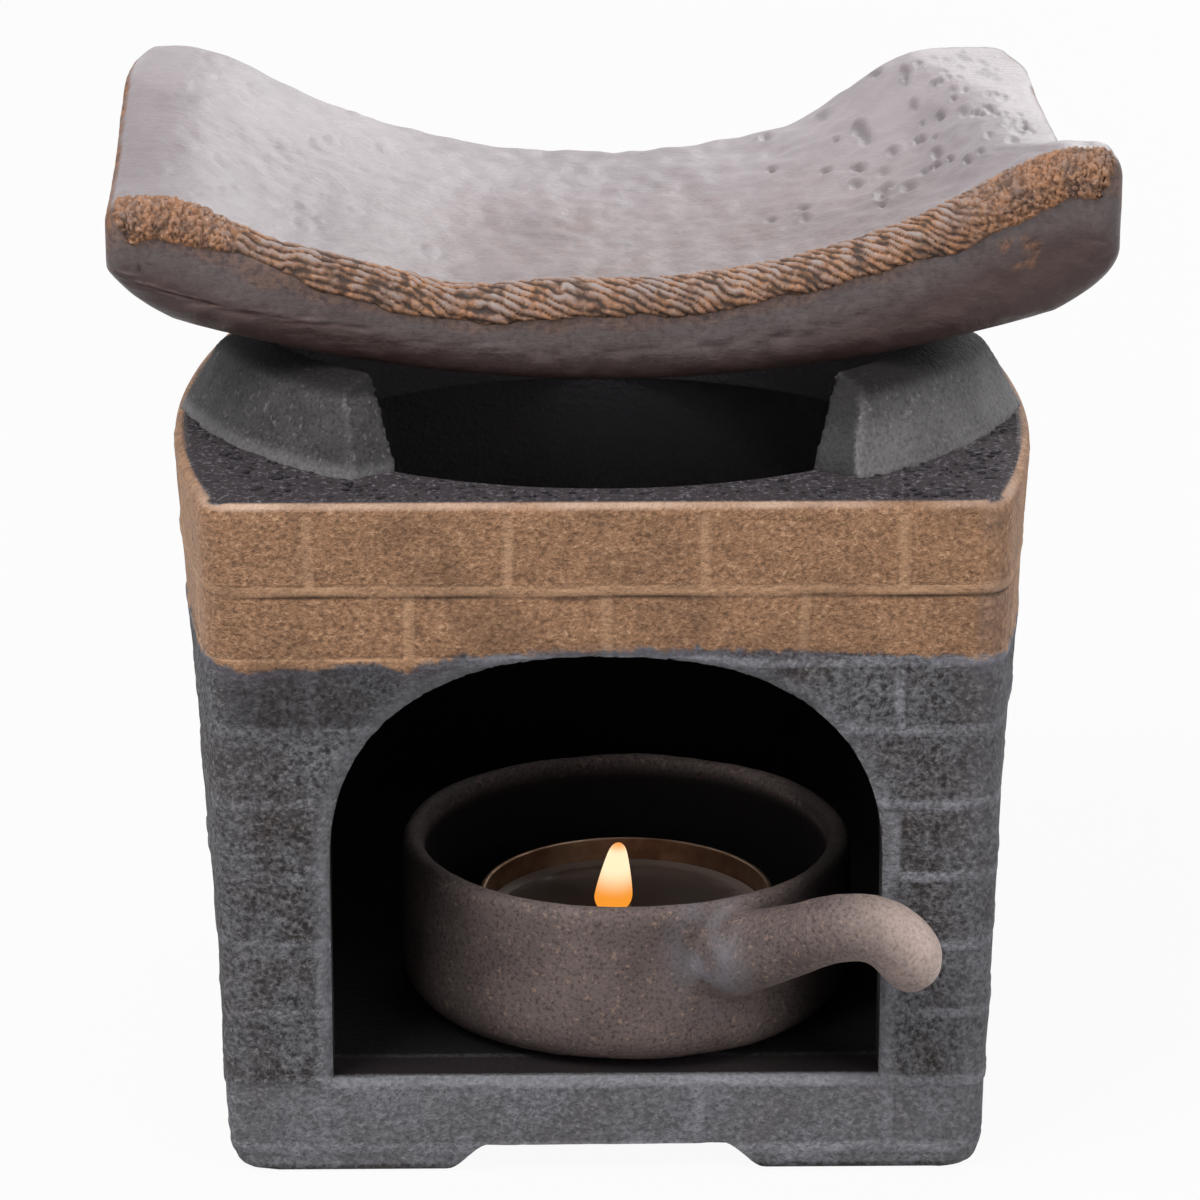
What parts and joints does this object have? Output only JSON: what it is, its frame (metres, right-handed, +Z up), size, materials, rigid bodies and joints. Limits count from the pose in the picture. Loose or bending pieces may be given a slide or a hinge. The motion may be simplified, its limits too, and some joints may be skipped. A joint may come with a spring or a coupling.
{
  "type": "teapot warmer",
  "caption": "Stoneware teapot warmer: a box stove with an arched door, a curved tile dish on rest lugs, and a handled candle cup with a tealight.",
  "frame": {"origin": "centre of the bounding box, on the table under the feet", "axes": "+Z up, the arched door faces -Y, +X to the right of the door"},
  "size_m": [0.126, 0.1232, 0.1258],
  "materials": {
    "charcoal_stoneware": "unglazed charcoal stoneware with a gold-brown band",
    "grey_stoneware": "smooth unglazed grey stoneware",
    "purple_stoneware": "hammered satin stoneware with rust edges",
    "brown_stoneware": "fine-grained unglazed brown stoneware",
    "tealight_aluminium": "pressed foil",
    "paraffin_wax": "melted at the top",
    "tinplate": "plain",
    "cotton_wick": "braided, burnt at the top"
  },
  "bodies": {
    "stove": {"stove_body": "charcoal_stoneware", "rest_lug_front_left": "grey_stoneware", "rest_lug_front_right": "grey_stoneware", "rest_lug_back_left": "grey_stoneware", "rest_lug_back_right": "grey_stoneware"},
    "dish": {"tile_dish": "purple_stoneware"},
    "cup": {"candle_cup": "brown_stoneware", "cup_handle": "brown_stoneware"},
    "tealight": {"tealight_cup": "tealight_aluminium", "tealight_wax": "paraffin_wax", "wick_sustainer": "tinplate", "wick": "cotton_wick"}
  },
  "joints": [
    {"name": "dish_lift", "type": "slide", "parent": "stove", "child": "dish", "axis": [0, 0, 1], "range_m": [0, 0.06]},
    {"name": "cup_slide", "type": "slide", "parent": "stove", "child": "cup", "axis": [0, -1, 0], "range_m": [0, 0.09]},
    {"name": "tealight_lift", "type": "slide", "parent": "cup", "child": "tealight", "axis": [0, 0, 1], "range_m": [0, 0.03]}
  ]
}
